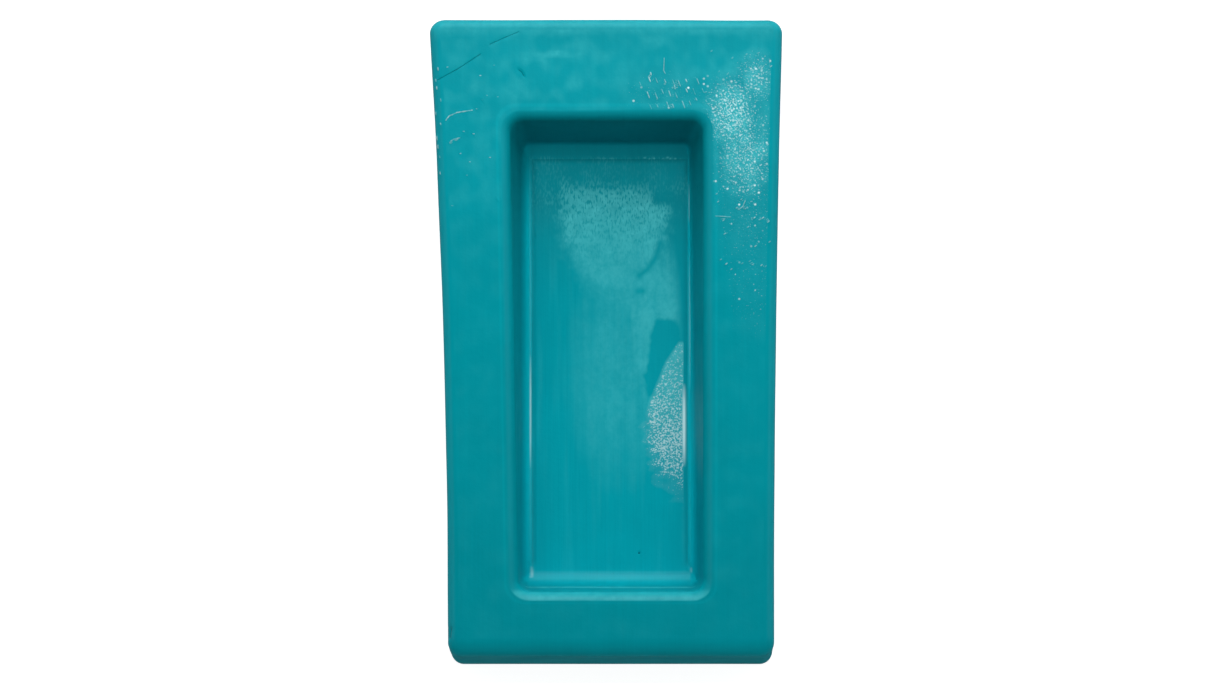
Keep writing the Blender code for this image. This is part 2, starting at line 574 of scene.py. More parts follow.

# Outlines on the cavity floor, anticlockwise: the film and painted sheen, its bare corner, a bare
# patch, and the painted grainy glints
FILM_AND_SHEEN_OUTLINE = ((-4.0, 8.0), (15.0, -2.0), (16.2, 38.6), (-12.0, 38.8), (-12.2, 24.0))
BARE = ((9.7, 31.4), (16.9, 31.7), (16.9, 37.6), (9.5, 37.4))
BARE_PATCH = (
    (9.0, -13.0),
    (17.0, -3.0),
    (17.0, 4.0),
    (15.9, 6.3),
    (11.3, 6.6),
    (9.7, 3.5),
    (8.4, -6.8),
)
GRAINY = (
    (16.2, 1.4),
    (13.2, -3.1),
    (10.8, -8.9),
    (8.8, -14.5),
    (8.2, -18.0),
    (8.5, -24.0),
    (11.0, -30.5),
    (24.0, -42.0),
    (24.0, 1.4),
)
GRAINY_RIGHT = 17.3  # where the raised border cuts the painted grainy glints off

# How soft and ragged its edge is, and how crowded the painted glint grains are in it, against Y
GRAINY_SOFTNESS = ((-30.0, 4.0), (-20.0, 2.5), (-13.0, 0.5))
GRAINY_RAGGEDNESS = ((-20.0, 2.5), (-14.0, 0.0))
GRAIN_SHARES = (
    (-37.0, 0.25),
    (-33.0, 0.50),
    (-28.0, 0.80),
    (-22.0, 1.00),
    (-12.0, 0.75),
    (2.0, 0.45),
)


def thrown(seed, count, x, y):
    """Random places spread across a rectangle in plan, each with a random share from 0 to 1.

    x and y are the rectangle's ranges, and it gets one place in each of count columns.
    """
    draw = random.Random(seed)
    shares = [(column + draw.uniform(0.25, 0.75)) / count for column in range(count)]
    return [(x[0] + (x[1] - x[0]) * share, draw.uniform(*y), draw.random()) for share in shares]


def specks():
    """Small drips and dashes that stand up from the rim, with a painted highlight along them: path,
    half width, height.
    """
    found = []
    # Marks down the block's left edge
    for y, x, share in thrown(1, 10, (36.0, 62.0), (-38.0, -36.8)):
        found.append((((x, y), (x + 0.05, y - 0.2 - 0.5 * share)), 0.24, 0.08 + 0.08 * share))
    # Dots on the rim's left side
    for x, y, share in thrown(2, 16, (-36.0, -24.0), (28.0, 62.0)):
        found.append((((x, y), (x + 0.1, y)), 0.22, 0.05 + 0.05 * share))
    # Three rows of drips above the cavity
    draw = random.Random(8)
    for seed, start, row in ((3, 6.8, 57.2), (6, 8.0, 54.9), (7, 9.0, 52.5)):
        for x, y, share in thrown(seed, 8, (start, start + 14.0), (row - 0.8, row + 0.8)):
            drip = ((x, y), (x + 0.15 + 0.4 * share, y - 0.3 - 1.2 * share))
            found.append((drip, 0.21, 0.01 + 0.13 * draw.random()))
    # Dashes among the dimples on the rim's right side
    for x, y, share in thrown(4, 46, (22.0, 36.8), (14.0, 64.0)):
        found.append((((x, y), (x + 0.2, y + 0.15)), 0.2, 0.04 + 0.1 * share))
    return found


# The relief that the mesh carries, in mm
WAVY_OUTSIDE = 0.12
WAVY_WALL = 0.07
FLOOR_STROKES = 0.012
DIMPLE_DEPTH = 0.07
RESTING_EDGE = 3.0  # the outside's waviness grows over this height above the underside


def relief(points, zones):
    """How far the silicone stands out from the plain shape at each point, in metres."""
    outside = within(zones, "side", "edge", "rim")
    wall = within(zones, "wall", "bevel")
    floor = within(zones, "floor")

    moved = np.zeros(len(points))
    clear = np.clip(points[outside, 2] / MM / RESTING_EDGE, 0.0, 1.0)
    moved[outside] = WAVY_OUTSIDE * clear * smooth_noise(points[outside], (22.0, 22.0, 22.0), seed=1)
    moved[wall] = WAVY_WALL * smooth_noise(points[wall], (14.0, 14.0, 14.0), seed=2)
    moved[floor] = FLOOR_STROKES * smooth_noise(points[floor], (0.9, 7.0, 1.0), seed=5)

    strength = np.where(within(zones, "rim"), hammered(points), 0.0)
    dimpled = strength > 0.0
    dimples = smooth_noise(points[dimpled], (1.3, 1.7, 1.3), seed=3)
    dimples += 0.5 * smooth_noise(points[dimpled], (0.8, 0.8, 0.8), seed=4)
    moved[dimpled] += DIMPLE_DEPTH * strength[dimpled] * dimples

    top = within(zones, "edge", "rim")
    for path, half_width, depth in SLITS:
        moved -= np.where(top, depth * trail(points, path, half_width), 0.0)
    for path, half_width, height in THREADS + tuple(specks()):
        moved += np.where(top, height * trail(points, path, half_width), 0.0)
    for centre, (_, _, radius, depth) in zip(bubble_centres(points), BUBBLES):
        away = np.linalg.norm(points - centre, axis=1) / MM
        moved -= depth * np.exp(-((away / radius) ** 2))
    return moved * MM


def bubble_centres(points):
    """Where the bubbles are on the skin, found from their places in plan."""
    inner = points[points[:, 2] > 0.9 * FLOOR_HEIGHT]
    centres = []
    for x, y, _, _ in BUBBLES:
        away = np.hypot(inner[:, 0] - x * MM, inner[:, 1] - y * MM)
        centres.append(inner[away.argmin()])
    return centres


def hammered(points):
    """How strongly the skin is hammered at each point, from 0 to 1."""
    strength = np.zeros(len(points))
    for x, y, half_x, half_y, share in HAMMERED:
        strength = np.maximum(strength, share * patch(points, x, y, half_x, half_y))
    return strength


# Where painted highlights lie outside the floor and the rim
FOOT_WALL = -54.2  # the cavity's foot wall lies beyond this Y, in mm
FOOT_WALL_HIGHLIGHT = 14.5  # the height of the painted highlight band across it
FOOT_WALL_HIGHLIGHT_HALF = 2.5
EDGE_HIGHLIGHT = ((66.0, 0.0), (69.0, 0.24))  # a painted highlight on the block's rounded head edge, against Y


def film_and_sheen_of(points, zones):
    """How much pale film, painted sheen and painted highlight lies on each point."""
    film_and_sheen = np.zeros(len(points))
    films_and_sheens = {"floor": floor_film_and_sheen, "rim": rim_film_and_sheen, "lip": lip_highlight, "side": side_film}
    for name, film_and_sheen_in in films_and_sheens.items():
        where = within(zones, name)
        film_and_sheen[where] = film_and_sheen_in(points[where])
    # A painted highlight band across the cavity's foot wall, and one on the rounded head edge
    foot_wall = within(zones, "wall") & (points[:, 1] < FOOT_WALL * MM)
    away = points[foot_wall, 2] / MM - FOOT_WALL_HIGHLIGHT
    film_and_sheen[foot_wall] = np.exp(-((away / FOOT_WALL_HIGHLIGHT_HALF) ** 4))
    edge = within(zones, "edge")
    film_and_sheen[edge] = along(points[edge], EDGE_HIGHLIGHT)
    return film_and_sheen


# The film and painted sheen on the cavity floor: its strength and the softness of its edge
# against Y
FILM_AND_SHEEN_STRENGTHS = ((-6.0, 0.0), (8.0, 0.5), (22.0, 0.9), (30.0, 1.3), (37.0, 1.1))
FILM_AND_SHEEN_SOFTNESS = ((2.0, 9.0), (15.0, 5.0), (30.0, 4.0))

# The thinner painted sheen beside it, as patches: x, y, half width, half length
SHEEN_BAND_PATCH = (11.0, 4.0, 7.0, 27.0)
SHEEN_BAND_STRENGTHS = ((2.0, 0.66), (8.0, 0.85), (20.0, 0.74))
SHEEN_MIDDLE_PATCH = (3.0, -6.0, 14.0, 30.0)
SHEEN_MIDDLE_STRENGTH = 0.45

# The film and painted sheen that show between the painted glint grains, and the painted sheen
# haze towards the head end, against Y
GRAINY_FILM_AND_SHEEN = ((-22.0, 0.0), (-12.0, 0.6), (0.0, 0.8))
SHEEN_HAZE_STRENGTHS = ((24.0, 0.0), (33.0, 1.0))


def floor_film_and_sheen(points):
    """Film and painted sheen: a cloudy patch with thinned places, and a haze towards the head end."""
    ragged = smooth_noise(points, (2.2, 3.0, 2.0), seed=6)
    ragged += smooth_noise(points, (0.9, 1.1, 1.0), seed=12)
    streaks = 0.3 * smooth_noise(points, (1.2, 16.0, 2.0), seed=7)
    clouds = smooth_noise(points, (5.0, 4.0, 4.0), seed=13)
    depth = (inside(points, FILM_AND_SHEEN_OUTLINE) + 0.9 * ragged) / along(points, FILM_AND_SHEEN_SOFTNESS)
    upper = along(points, FILM_AND_SHEEN_STRENGTHS) * np.clip(depth, 0.0, 1.0)
    band = np.clip(1.4 * patch(points, *SHEEN_BAND_PATCH) + streaks, 0.0, 1.0)
    band *= along(points, SHEEN_BAND_STRENGTHS)
    middle = np.clip(1.2 * patch(points, *SHEEN_MIDDLE_PATCH) + streaks - 0.1, 0.0, 1.0)
    film_and_sheen = np.maximum.reduce((upper, band, SHEEN_MIDDLE_STRENGTH * middle))
    for path, half_width in FILM_GAPS:
        film_and_sheen *= 1.0 - 0.85 * trail(points, path, half_width)
    for outline, grown, softness in ((BARE, 0.0, 1.6), (BARE_PATCH, 0.2, 0.9)):
        depth = inside(points, outline) + grown + 0.4 * ragged
        film_and_sheen *= 1.0 - 0.95 * np.clip(depth / softness, 0.0, 1.0)
    under_grains = np.clip(inside(points, GRAINY) / 0.6, 0.0, 1.0)
    under_grains[points[:, 0] > GRAINY_RIGHT * MM] = 0.0
    film_and_sheen = np.maximum(film_and_sheen, under_grains * along(points, GRAINY_FILM_AND_SHEEN))
    sheen_haze = (0.22 + 0.25 * clouds + 0.1 * ragged) * along(points, SHEEN_HAZE_STRENGTHS)
    return np.maximum.reduce((film_and_sheen, sheen_haze, beaded_highlight(points, clouds)))


def beaded_highlight(points, clouds):
    """A painted highlight line along the floor's head edge, with brighter beads towards its right end.
    """
    away = (points[:, 1] / MM - 42.7) / 0.22
    line = 0.8 * np.exp(-(away**2)) * np.clip(0.6 + 0.8 * clouds, 0.2, 1.0)
    for x, y, share in thrown(5, 9, (8.0, 17.0), (42.6, 42.9)):
        bead = trail(points, ((x, y), (x + 0.2, y)), 0.2)
        line = np.maximum(line, (0.8 + 1.6 * share) * bead)
    return line


RIM_CLOUDS = ((20.0, 0.06), (55.0, 0.24))  # strength of the rim's clouds of film and painted sheen, against Y
RIM_HIGHLIGHT_STREAK = (-11.0, 63.2, 8.0, 1.2)  # a painted highlight streak: x, y, half length, half width


def rim_film_and_sheen(points):
    """Painted sheen on the hammered skin, thin clouds, and painted highlights: a band along the head
    edge and a streak.
    """
    y = points[:, 1] / MM
    ragged = smooth_noise(points, (2.2, 3.0, 2.0), seed=6)
    clouds = smooth_noise(points, (7.0, 4.0, 4.0), seed=8) + 0.8 * ragged
    sheen_haze = np.clip(hammered(points) - 0.35 + 0.25 * ragged, 0.0, 1.0)
    cloudy = np.clip(0.25 + 0.9 * clouds, 0.0, 1.0) * along(points, RIM_CLOUDS)
    band = 0.34 * np.clip((y - 66.8 + 0.9 * ragged) / 2.2, 0.0, 1.0)
    streak = 0.5 * patch(points, *RIM_HIGHLIGHT_STREAK) * np.clip(0.6 + ragged, 0.0, 1.0)
    return np.maximum.reduce((sheen_haze, cloudy, band, streak))


def lip_highlight(points):
    """A painted highlight on the cavity's lip along the foot end."""
    uneven = 0.85 + 0.4 * smooth_noise(points, (3.0, 3.0, 3.0), seed=9)
    at_foot = np.clip((-points[:, 1] / MM - 56.2) / 0.8, 0.0, 1.0)
    return np.clip(0.42 * at_foot * uneven, 0.0, 1.0)


def side_film(points):
    """Faint clouds of handling marks on the outside."""
    clouds = smooth_noise(points, (11.0, 11.0, 8.0), seed=10)
    clouds += 0.6 * smooth_noise(points, (3.5, 3.5, 2.5), seed=11)
    return np.clip(0.03 + 0.16 * clouds, 0.0, 0.16)


# Painted glints on the cavity floor's raised border and in its corners: path, half width, strength
GLINTS = (
    (((-17.0, -1.0), (-17.0, -28.0)), 0.16, 1.0),
    (((-17.0, 42.0), (-17.0, -48.0)), 0.15, 0.08),
    (((17.45, -8.0), (17.45, -27.0)), 0.3, 2.2),
    (((18.7, 37.0), (18.7, 28.0)), 0.15, 0.5),
    (((18.75, 22.0), (18.75, -10.0)), 0.2, 0.2),
    (((-16.7, -49.2), (-16.6, -51.6), (-17.4, -52.4)), 0.3, 0.35),
    (((19.0, -49.5), (19.1, -50.9)), 0.3, 0.3),
)


def glints_of(points, zones):
    """How bright the painted glints are at each point. Each fades towards its ends."""
    low = within(zones, "bevel", "floor")
    wet = points[low]
    found = np.zeros(len(wet))
    for path, half_width, strength in GLINTS:
        middle = (np.array(path[0]) + path[-1]) / 2
        reach = np.linalg.norm(wet[:, :2] / MM - middle, axis=1) / (math.dist(path[0], path[-1]) / 2)
        taper = np.clip(1.0 - reach**2, 0.0, 1.0)
        found = np.maximum(found, strength * taper * trail(wet, path, half_width))
    glints = np.zeros(len(points))
    glints[low] = found
    return glints


def glint_crowding_of(points, zones):
    """How crowded the painted glint grains are: in a patch on the floor and on the hammered rim."""
    floor = within(zones, "floor")
    rim = within(zones, "rim")
    low = points[floor]
    ragged = smooth_noise(low, (2.5, 1.2, 1.0), seed=14) * along(low, GRAINY_RAGGEDNESS)
    depth = (inside(low, GRAINY) + ragged) / along(low, GRAINY_SOFTNESS)
    glint_crowding = np.zeros(len(points))
    glint_crowding[floor] = along(low, GRAIN_SHARES) * np.clip(depth, 0.0, 1.0)
    glint_crowding[floor & (points[:, 0] > GRAINY_RIGHT * MM)] = 0.0
    glint_crowding[rim] = 0.8 * hammered(points[rim]) ** 1.2
    return glint_crowding


# How strongly level and sloping skin mirrors, against Y in mm
FLATS_GLOSS = ((7.0, 0.012), (71.0, 0.055))
SLOPES_GLOSS = ((-71.0, 0.05), (-66.0, 0.12))


def gloss_of(points, flatness):
    """How strongly the bare skin mirrors: slopes well, flats hardly, more so near the head end."""
    flats = along(points, FLATS_GLOSS)
    slopes = along(points, SLOPES_GLOSS)
    sloping = np.interp(flatness, (0.93, 0.99), (1.0, 0.0))
    return flats + (slopes - flats) * sloping


def build_skin():
    """The whole casting as one closed mesh object, with what its material needs stored."""
    rings = casting_rings()
    skin = Skin()
    indexed = [skin.add_ring(*ring) for ring in zip(rings.points, rings.zones, rings.shades)]
    for lower, upper in zip(indexed, indexed[1:]):
        skin.bridge(lower, upper)
    skin.fill_strips(indexed[0])
    skin.fill_grid(indexed[-1], ZONES.index("floor"), floor_shade)

    points = np.vstack(skin.points)
    mesh = bpy.data.meshes.new("silicone_skin")
    mesh.from_pydata(points, [], skin.faces)
    mesh.validate()
    normals = np.zeros(len(points) * 3, np.float32)
    mesh.vertex_normals.foreach_get("vector", normals)
    normals = normals.reshape(-1, 3)
    zones = np.concatenate(skin.zones)
    shaped = points + normals * relief(points, zones)[:, None]
    mesh.vertices.foreach_set("co", shaped.astype(np.float32).ravel())
    mesh.update()
    kept = {
        "rest_place": points,
        "floor_zone": within(zones, "floor"),
        "shade": np.concatenate(skin.shades),
        "film_and_sheen": film_and_sheen_of(points, zones),
        "glint_crowding": glint_crowding_of(points, zones),
        "glints": glints_of(points, zones),
        "hammer_and_glints": np.where(within(zones, "rim"), hammered(points), 0.0),
        "gloss": gloss_of(points, normals[:, 2]),
        "slits_and_shade": beside_lines(points, zones, SLITS),
        "threads_and_highlights": beside_lines(points, zones, THREADS + tuple(specks())),
    }
    for name, values in kept.items():
        store(mesh, name, values)
    mesh.shade_smooth()
    mesh.materials.append(cast_silicone(bubble_centres(points)))
    return bpy.data.objects.new("silicone_skin", mesh)


def store(mesh, name, values):
    """Keeps a number or a vector for each point of the mesh, for the material to read."""
    values = np.asarray(values, np.float32)
    kind, field = ("FLOAT", "value") if values.ndim == 1 else ("FLOAT_VECTOR", "vector")
    attribute = mesh.attributes.new(name, kind, "POINT")
    attribute.data.foreach_set(field, values.ravel())


class Graph:
    """A node tree with short ways to add and join its nodes."""

    def __init__(self, tree):
        self.tree = tree
        tree.nodes.clear()

    def node(self, kind, inputs=(), **settings):
        made = self.tree.nodes.new(kind)
        for name, value in settings.items():
            setattr(made, name, value)
        for name, value in dict(inputs).items():
            self.feed(made.inputs[name], value)
        return made

    def feed(self, socket, value):
        if isinstance(value, bpy.types.NodeSocket):
            self.tree.links.new(value, socket)
        else:
            socket.default_value = value

    def math(self, operation, *values, clamp=False):
        made = self.node("ShaderNodeMath", operation=operation, use_clamp=clamp)
        for socket, value in zip(made.inputs, values):
            self.feed(socket, value)
        return made.outputs[0]

    def vector(self, operation, *values):
        made = self.node("ShaderNodeVectorMath", operation=operation)
        for socket, value in zip(made.inputs, values):
            self.feed(socket, value)
        name = "Value" if operation in ("DISTANCE", "DOT_PRODUCT") else "Vector"
        return made.outputs[name]

    def noise(self, place, scale, detail=2.0, roughness=0.5):
        inputs = {"Vector": place, "Scale": scale, "Detail": detail, "Roughness": roughness}
        return self.node("ShaderNodeTexNoise", inputs).outputs["Fac"]

    def spread(self, value, low, high, new_low=0.0, new_high=1.0, smooth=False):
        """value remapped from low..high to new_low..new_high, held at both ends."""
        inputs = {
            "Value": value,
            "From Min": low,
            "From Max": high,
            "To Min": new_low,
            "To Max": new_high,
        }
        kind = "SMOOTHSTEP" if smooth else "LINEAR"
        made = self.node("ShaderNodeMapRange", inputs, interpolation_type=kind)
        return made.outputs["Result"]

    def colour_mix(self, share, first, second):
        made = self.node("ShaderNodeMix", data_type="RGBA")
        self.feed(made.inputs["Factor"], share)
        colours = [socket for socket in made.inputs if socket.type == "RGBA"]
        self.feed(colours[0], first)
        self.feed(colours[1], second)
        return next(socket for socket in made.outputs if socket.type == "RGBA")

    def attribute(self, name, field="Fac"):
        return self.node("ShaderNodeAttribute", attribute_name=name).outputs[field]

    def drawn_line(self, name, half_width):
        """1 along the lines that beside_lines kept under name (half_width in mm), and their height."""
        place = self.node("ShaderNodeSeparateXYZ", {"Vector": self.attribute(name, "Vector")})
        beside = self.math("ABSOLUTE", place.outputs["X"])
        across = self.spread(beside, 0.0, half_width, 1.0, 0.0, smooth=True)
        along = self.spread(place.outputs["Y"], -0.1, 0.3, 1.0, 0.0, smooth=True)
        return self.math("MULTIPLY", across, along), place.outputs["Z"]

    def bump(self, height, distance, strength, normal=None):
        inputs = {"Height": height, "Distance": distance, "Strength": strength}
        made = self.node("ShaderNodeBump", inputs)
        if normal is not None:
            self.feed(made.inputs["Normal"], normal)
        return made.outputs["Normal"]

    def surface(self, inputs):
        """Ends a material's tree with a Principled BSDF that has these inputs."""
        shader = self.node("ShaderNodeBsdfPrincipled", inputs)
        output = self.node("ShaderNodeOutputMaterial")
        self.feed(output.inputs["Surface"], shader.outputs["BSDF"])


# Colours, and how far each covers the base colour where it is strongest. The film colour carries
# film and painted sheen, the glare colour painted highlights and glints, and the slit colour
# painted shade in slits and pits
BASE_COLOUR = (0.0, 0.277, 0.333)
FILM_AND_SHEEN_COLOUR = (0.06, 0.58, 0.62, 1.0)
FILM_AND_SHEEN_COVER = 0.6
GLARE_COLOUR = (0.64, 0.88, 0.89, 1.0)
GLARE_COVER = 0.64
SLIT_SHADE_COLOUR = (0.0, 0.09, 0.11, 1.0)
SLIT_SHADE_COVER = 0.5

# Half widths of the fine lines that the material draws, in mm
SLIT_HALF_WIDTH = 0.17
THREAD_HALF_WIDTH = 0.19

SILICONE_IOR = 1.41


# The scales of the noises below are in features per metre


def mottled_colour(graph, place, strokes):
    """Base colour with the painted light and shade of each place, faintly mottled and streaked."""
    mottle = graph.noise(place, 55.0, 5.0, 0.65)
    tone = graph.spread(mottle, 0.3, 0.7, 0.96, 1.04)
    tone = graph.math("MULTIPLY", tone, graph.attribute("shade"))
    tone = graph.math("MULTIPLY", tone, graph.spread(strokes, 0.3, 0.7, 0.98, 1.02))
    colour = graph.vector("SCALE", BASE_COLOUR)
    graph.feed(colour.node.inputs["Scale"], tone)
    return colour


def uneven_film_and_sheen(graph, place, floor):
    """How thick the film and painted sheen is: curdled, and flecked with bare silicone near the head
    end.
    """
    film_and_sheen = graph.attribute("film_and_sheen")
    flecks = graph.noise(graph.vector("MULTIPLY", place, (2600.0, 900.0, 900.0)), 1.0, 1.0)
    y_place = graph.node("ShaderNodeSeparateXYZ", {"Vector": place}).outputs["Y"]
    flecked = graph.math("MULTIPLY", floor, graph.spread(y_place, 16.0 * MM, 35.0 * MM))
    threshold = graph.spread(film_and_sheen, 0.0, 1.0, 0.61, 0.42)
    bare = graph.spread(graph.math("SUBTRACT", flecks, threshold), -0.07, 0.07, 0.85, 0.0)
    pale = graph.math("SUBTRACT", 1.0, graph.math("MULTIPLY", bare, flecked))
    curdled = graph.noise(graph.vector("MULTIPLY", place, (380.0, 300.0, 380.0)), 1.0, 5.0, 0.7)
    thickness = graph.spread(curdled, 0.35, 0.65, 0.6, 1.25)
    return graph.math("MULTIPLY", graph.math("MULTIPLY", film_and_sheen, pale), thickness)


def painted_glint_grains(graph, place, floor):
    """Painted glints as bright grains, which crowd together in the places kept for them."""
    glint_crowding = graph.attribute("glint_crowding")
    grain = graph.noise(place, 2700.0, 2.5)
    threshold = graph.spread(glint_crowding, 0.0, 1.0, 0.74, 0.49)
    grains = graph.spread(graph.math("SUBTRACT", grain, threshold), -0.06, 0.10)
    grains = graph.math("MAXIMUM", grains, graph.math("MULTIPLY", floor, 0.06))
    return graph.math("MULTIPLY", graph.math("POWER", glint_crowding, 0.4), grains)


def painted_glint_specks(graph, place, hammer_and_glints):
    """Painted glints on the dimples of the rim's hammered skin, crowded where that skin is strongest.
    """
    cells = graph.node("ShaderNodeTexVoronoi", {"Vector": place, "Scale": 1150.0})
    dot = graph.spread(cells.outputs["Distance"], 0.15, 0.38, 1.0, 0.0, smooth=True)
    lottery = graph.node("ShaderNodeSeparateColor", {"Color": cells.outputs["Color"]})
    crowding = graph.math("MULTIPLY", graph.math("POWER", hammer_and_glints, 1.5), 0.8)
    drawn = graph.math("LESS_THAN", lottery.outputs["Red"], crowding)
    brightness = graph.spread(lottery.outputs["Green"], 0.0, 1.0, 0.15, 1.0)
    return graph.math("MULTIPLY", graph.math("MULTIPLY", dot, drawn), brightness)


def pit_shades(graph, place, centres):
    """1 inside the burst bubbles, where their pits get painted shade."""
    found = 0.0
    for centre, (_, _, radius, depth) in zip(centres, BUBBLES):
        if depth > 0.0:
            away = graph.vector("DISTANCE", place, centre)
            pit = graph.spread(away, 0.4 * radius * MM, radius * MM, 1.0, 0.0)
            found = graph.math("MAXIMUM", pit, found)
    return found


def sheen(graph, place, film_and_sheen, hammer_and_glints, glare):
    """Roughness and gloss: bare skin is satin, the film and painted sheen smoother, the glare
    smoothest.
    """
    rough_noise = graph.noise(place, 160.0, 4.0, 0.6)
    roughness = graph.spread(rough_noise, 0.3, 0.7, 0.38, 0.46)
    roughness = graph.math("SUBTRACT", roughness, graph.math("MULTIPLY", film_and_sheen, 0.08))
    roughness = graph.math("SUBTRACT", roughness, graph.math("MULTIPLY", hammer_and_glints, 0.14))
    roughness = graph.math("SUBTRACT", roughness, graph.math("MULTIPLY", glare, 0.25))
    roughness = graph.math("MAXIMUM", roughness, 0.14)
    gloss = graph.math("ADD", graph.attribute("gloss"), graph.math("MULTIPLY", film_and_sheen, 0.08))
    gloss = graph.math("ADD", gloss, graph.math("MULTIPLY", hammer_and_glints, 0.2))
    gloss = graph.math("ADD", gloss, graph.math("MULTIPLY", glare, 0.8), clamp=True)
    return roughness, gloss


def fine_relief(graph, place, orange_peel, hammer_and_glints, floor_strokes, lines):
    """Relief too fine for the mesh: orange peel, dimples, strokes on the floor and fine lines."""
    normal = graph.bump(orange_peel, 0.05 * MM, 0.7)
    dimples = graph.math("MULTIPLY", graph.noise(place, 1500.0, 2.0), hammer_and_glints)
    normal = graph.bump(dimples, 0.2 * MM, 1.0, normal)
    normal = graph.bump(floor_strokes, 0.04 * MM, 0.8, normal)
    return graph.bump(lines, 0.1 * MM, 0.8, normal)


def cast_silicone(centres):
    """Saturated teal silicone: satin, faintly mottled, with orange peel, film and slits, and painted
    light and shade, sheen, glints and specks.
    """
    material = bpy.data.materials.new("cast_silicone")
    material.use_nodes = True
    graph = Graph(material.node_tree)
    place = graph.attribute("rest_place", "Vector")
    floor = graph.attribute("floor_zone")
    hammer_and_glints = graph.attribute("hammer_and_glints")
    strokes = graph.noise(graph.vector("MULTIPLY", place, (2400.0, 45.0, 45.0)), 1.0, 1.0)
    slits_and_shade, _ = graph.drawn_line("slits_and_shade", SLIT_HALF_WIDTH)
    threads_and_highlights, thread_height = graph.drawn_line("threads_and_highlights", THREAD_HALF_WIDTH)

    colour = mottled_colour(graph, place, strokes)
    film_and_sheen = uneven_film_and_sheen(graph, place, floor)
    # The pale film and painted sheen.
    film_and_sheen_share = graph.math("MULTIPLY", film_and_sheen, FILM_AND_SHEEN_COVER, clamp=True)
    colour = graph.colour_mix(film_and_sheen_share, colour, FILM_AND_SHEEN_COLOUR)
    # Painted shade inside the slits and the burst bubbles' pits
    slit_shade_share = graph.math("MULTIPLY", slits_and_shade, SLIT_SHADE_COVER)
    painted_shade_share = graph.math("MAXIMUM", slit_shade_share, pit_shades(graph, place, centres))
    colour = graph.colour_mix(painted_shade_share, colour, SLIT_SHADE_COLOUR)

    # Painted highlights: glint grains, glint specks on the hammered skin and the glints on the mesh
    glare = painted_glint_grains(graph, place, floor)
    glare = graph.math("MAXIMUM", glare, painted_glint_specks(graph, place, hammer_and_glints))
    glare = graph.math("MAXIMUM", glare, graph.attribute("glints"))
    # A painted highlight along the threads, drips and dashes on the rim, brighter where they stand
    # higher
    brightness = graph.spread(thread_height, 0.02, 0.15, 0.2, 1.0)
    orange_peel = graph.noise(place, 900.0, 2.0)
    threads_and_highlights = graph.math("MULTIPLY", threads_and_highlights, graph.spread(orange_peel, 0.4, 0.56, 0.3, 1.0))
    glare = graph.math("MAXIMUM", glare, graph.math("MULTIPLY", threads_and_highlights, brightness))
    glare_share = graph.math("MULTIPLY", glare, GLARE_COVER, clamp=True)
    colour = graph.colour_mix(glare_share, colour, GLARE_COLOUR)

    roughness, gloss = sheen(graph, place, film_and_sheen, hammer_and_glints, glare)
    floor_strokes = graph.math("MULTIPLY", strokes, floor)
    lines = graph.math("SUBTRACT", threads_and_highlights, slits_and_shade)
    graph.surface(
        {
            "Base Color": colour,
            "Roughness": roughness,
            "IOR": SILICONE_IOR,
            "Specular IOR Level": gloss,
            "Normal": fine_relief(graph, place, orange_peel, hammer_and_glints, floor_strokes, lines),
        }
    )
    return material


def pale_floor():
    """Near white with a faint shadow to the camera, a soft bounce to the rest, dark in the gloss."""
    material = bpy.data.materials.new("pale_floor")
    material.use_nodes = True
    graph = Graph(material.node_tree)
    rays = graph.node("ShaderNodeLightPath")
    glow = graph.spread(rays.outputs["Is Camera Ray"], 0.0, 1.0, 0.8, 0.9)
    matt = graph.math("SUBTRACT", 1.0, rays.outputs["Is Glossy Ray"])
    graph.surface(
        {
            "Base Color": graph.colour_mix(matt, (0.02, 0.02, 0.02, 1.0), (0.3, 0.3, 0.3, 1.0)),
            "Roughness": 0.9,
            "Specular IOR Level": 0.0,
            "Emission Color": (1.0, 1.0, 1.0, 1.0),
            "Emission Strength": graph.math("MULTIPLY", glow, matt),
        }
    )
    return material


def add_floor():
    mesh = bpy.data.meshes.new("floor")
    reach = STUDIO_FLOOR_REACH
    corners = [(-reach, -reach, 0.0), (reach, -reach, 0.0), (reach, reach, 0.0), (-reach, reach, 0.0)]
    mesh.from_pydata(corners, [], [(0, 1, 2, 3)])
    mesh.materials.append(pale_floor())
    floor = bpy.data.objects.new("floor", mesh)
    bpy.context.scene.collection.objects.link(floor)


def light_sky():
    """White to the camera, dim in the gloss and dark to everything else."""
    world = bpy.data.worlds.new("studio")
    bpy.context.scene.world = world
    world.use_nodes = True
    graph = Graph(world.node_tree)
    direction = graph.node("ShaderNodeTexCoord").outputs["Generated"]
    up = graph.vector("DOT_PRODUCT", direction, (0.0, 0.0, 1.0))
    mirrored = graph.spread(up, 0.3, 0.75, 0.2, 0.0, smooth=True)
    rays = graph.node("ShaderNodeLightPath")
    strength = graph.math("MULTIPLY", rays.outputs["Is Glossy Ray"], mirrored)
    strength = graph.math("MAXIMUM", strength, rays.outputs["Is Camera Ray"])
    look = {"Color": (1.0, 1.0, 1.0, 1.0), "Strength": strength}
    background = graph.node("ShaderNodeBackground", look)
    output = graph.node("ShaderNodeOutputWorld")
    graph.feed(output.inputs["Surface"], background.outputs["Background"])


# Soft lights: place in metres, diameter, watts
SOFT_LIGHTS = {
    "key_light": ((0.0, 0.26, 0.38), 0.4, 1.3),
    "right_light": ((0.6, 0.1, 0.5), 0.6, 2.0),
    "left_light": ((-0.6, 0.1, 0.5), 0.6, 1.6),
    "top_light": ((0.0, 0.0, 1.2), 1.0, 2.5),
    "foot_light": ((0.0, -0.7, 0.7), 0.8, 1.0),
    "head_light": ((0.0, 1.0, 0.3), 0.6, 4.7),
}

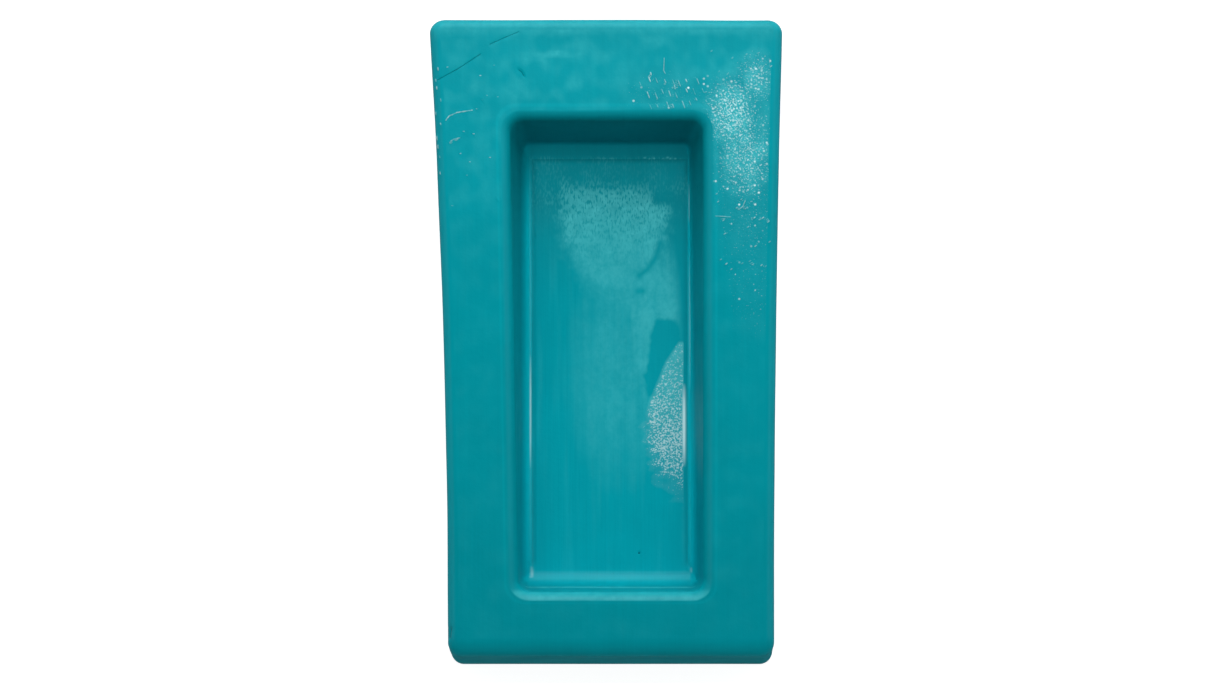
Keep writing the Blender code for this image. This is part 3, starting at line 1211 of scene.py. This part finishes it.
# Lights that only the gloss mirrors: place, diameter, watts, colour
MIRRORED_LIGHTS = {
    "window_glint": ((0.15, 0.23, 1.3), 0.16, 1.2, (1.0, 1.0, 1.0)),
    "pale_softbox": ((0.0, 1.5, 1.27), 1.3, 30.0, (0.55, 1.0, 1.05)),
}


def add_area_light(name, place, size, watts):
    data = bpy.data.lights.new(name, "AREA")
    data.shape = "DISK"
    data.size = size
    data.energy = watts
    light = bpy.data.objects.new(name, data)
    light.location = place
    aim = LIGHTS_AIM - Vector(place)
    light.rotation_euler = aim.to_track_quat("-Z", "Y").to_euler()
    light.visible_camera = False
    bpy.context.scene.collection.objects.link(light)
    return light


def add_lights():
    for name, (place, size, watts) in SOFT_LIGHTS.items():
        add_area_light(name, place, size, watts).visible_glossy = False
    for name, (place, size, watts, colour) in MIRRORED_LIGHTS.items():
        light = add_area_light(name, place, size, watts)
        light.data.color = colour
        light.visible_diffuse = False


def add_camera():
    data = bpy.data.cameras.new("camera")
    data.sensor_width = SENSOR_WIDTH
    data.lens = SENSOR_WIDTH * CAMERA_DISTANCE / FRAME_WIDTH
    data.clip_end = 2.0 * STUDIO_FLOOR_REACH
    camera = bpy.data.objects.new("camera", data)
    camera.rotation_euler = (CAMERA_TILT, 0.0, 0.0)
    back = Vector((0.0, -math.sin(CAMERA_TILT), math.cos(CAMERA_TILT)))
    camera.location = CAMERA_AIM + back * CAMERA_DISTANCE
    bpy.context.scene.collection.objects.link(camera)
    bpy.context.scene.camera = camera


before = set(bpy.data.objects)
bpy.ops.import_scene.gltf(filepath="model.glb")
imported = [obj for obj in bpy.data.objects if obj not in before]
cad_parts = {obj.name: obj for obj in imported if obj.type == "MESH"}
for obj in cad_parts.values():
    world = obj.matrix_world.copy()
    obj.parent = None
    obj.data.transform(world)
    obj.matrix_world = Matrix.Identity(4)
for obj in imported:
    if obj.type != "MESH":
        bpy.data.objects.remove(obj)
cad_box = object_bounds()
CAD_HIGH = cad_box[1]  # gives the skin its half length and its height

skin = build_skin()
bpy.context.scene.collection.objects.link(skin)
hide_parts("foot_half", "head_half")
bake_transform(skin)

add_floor()
light_sky()
add_lights()
add_camera()
bpy.context.scene.view_settings.view_transform = "Standard"
